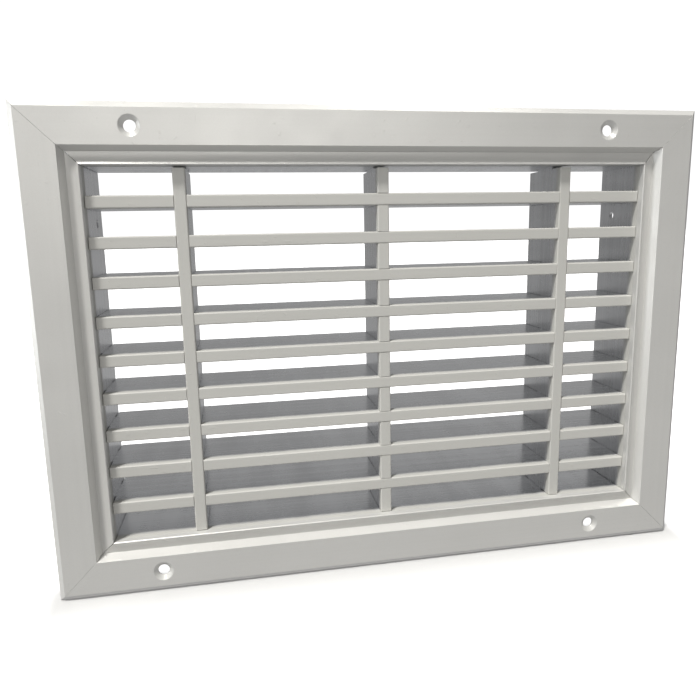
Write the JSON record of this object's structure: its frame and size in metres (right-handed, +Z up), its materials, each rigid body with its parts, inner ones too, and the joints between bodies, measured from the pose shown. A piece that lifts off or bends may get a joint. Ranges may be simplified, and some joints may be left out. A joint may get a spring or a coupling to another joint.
{
  "type": "air grille",
  "caption": "Flange-mounted wall air grille: mitred frame around a deep grid of fixed horizontal bars half-lapped with vertical bars.",
  "frame": {"origin": "centre of the opening, in the plane of the wall that the flange rests on", "axes": "+X to the right for someone facing the grille, +Y into the wall, +Z up"},
  "size_m": [0.34, 0.0412, 0.24],
  "materials": {
    "painted_frame": "satin powder coat",
    "painted_bars": "satin powder coat at the front, bare aluminium deeper in",
    "bare_casing": "mill finish, paint fading out behind the lip",
    "cleats": "mill finish"
  },
  "bodies": {
    "root": {"frame_rail_top": "painted_frame", "frame_rail_bottom": "painted_frame", "frame_rail_left": "painted_frame", "frame_rail_right": "painted_frame", "horizontal_bar_1": "painted_bars", "horizontal_bar_2": "painted_bars", "horizontal_bar_3": "painted_bars", "horizontal_bar_4": "painted_bars", "horizontal_bar_5": "painted_bars", "horizontal_bar_6": "painted_bars", "horizontal_bar_7": "painted_bars", "horizontal_bar_8": "painted_bars", "horizontal_bar_9": "painted_bars", "vertical_bar_left": "painted_bars", "vertical_bar_centre": "painted_bars", "vertical_bar_right": "painted_bars", "core_plate_top": "bare_casing", "core_plate_bottom": "bare_casing", "core_plate_left": "bare_casing", "core_plate_right": "bare_casing", "corner_cleat_top_left": "cleats", "corner_cleat_top_right": "cleats", "corner_cleat_bottom_left": "cleats", "corner_cleat_bottom_right": "cleats"}
  },
  "joints": []
}
